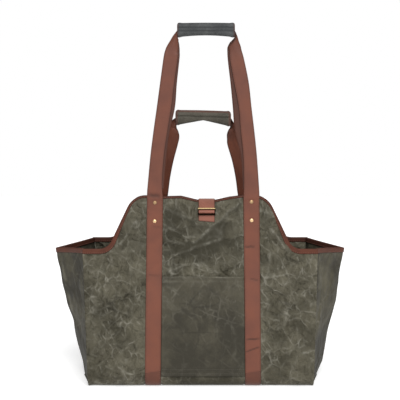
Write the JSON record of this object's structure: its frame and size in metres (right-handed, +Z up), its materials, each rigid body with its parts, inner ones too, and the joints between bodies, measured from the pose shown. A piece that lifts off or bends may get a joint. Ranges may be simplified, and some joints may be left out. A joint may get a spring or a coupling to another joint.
{
  "type": "log carrier",
  "caption": "Open waxed-canvas firewood tote with fold-out gussets, leather straps that run into wrapped grips, bound rims, a front pocket and a slide closure.",
  "frame": {"origin": "on the floor under the middle of the bag's base", "axes": "+Z up, the front with the pocket faces -Y, +X to the right as seen from the front"},
  "size_m": [0.7178, 0.2664, 0.8653],
  "materials": {
    "canvas": "waxed, matt with a faint sheen and pale creases",
    "pocket_canvas": "waxed, smooth and a little darker",
    "grip_canvas": "waxed, folded round the handle",
    "strap_leather": "smooth brown leather, satin",
    "edge_leather": "thin dark brown leather, satin",
    "brass": "antique, dull with bright high spots"
  },
  "bodies": {
    "root": {"base_panel": "canvas", "front_panel": "canvas", "back_panel": "canvas", "left_gusset": "canvas", "right_gusset": "canvas", "front_binding": "edge_leather", "back_binding": "edge_leather", "left_binding": "edge_leather", "right_binding": "edge_leather", "front_strap": "strap_leather", "back_strap": "strap_leather", "front_grip": "grip_canvas", "back_grip": "grip_canvas", "front_pocket": "pocket_canvas", "closure_strap": "strap_leather", "closure_buckle": "brass", "front_left_rivet_upper": "brass", "front_left_rivet_lower": "brass", "front_right_rivet_upper": "brass", "front_right_rivet_lower": "brass", "back_left_rivet_upper": "brass", "back_left_rivet_lower": "brass", "back_right_rivet_upper": "brass", "back_right_rivet_lower": "brass"}
  },
  "joints": []
}
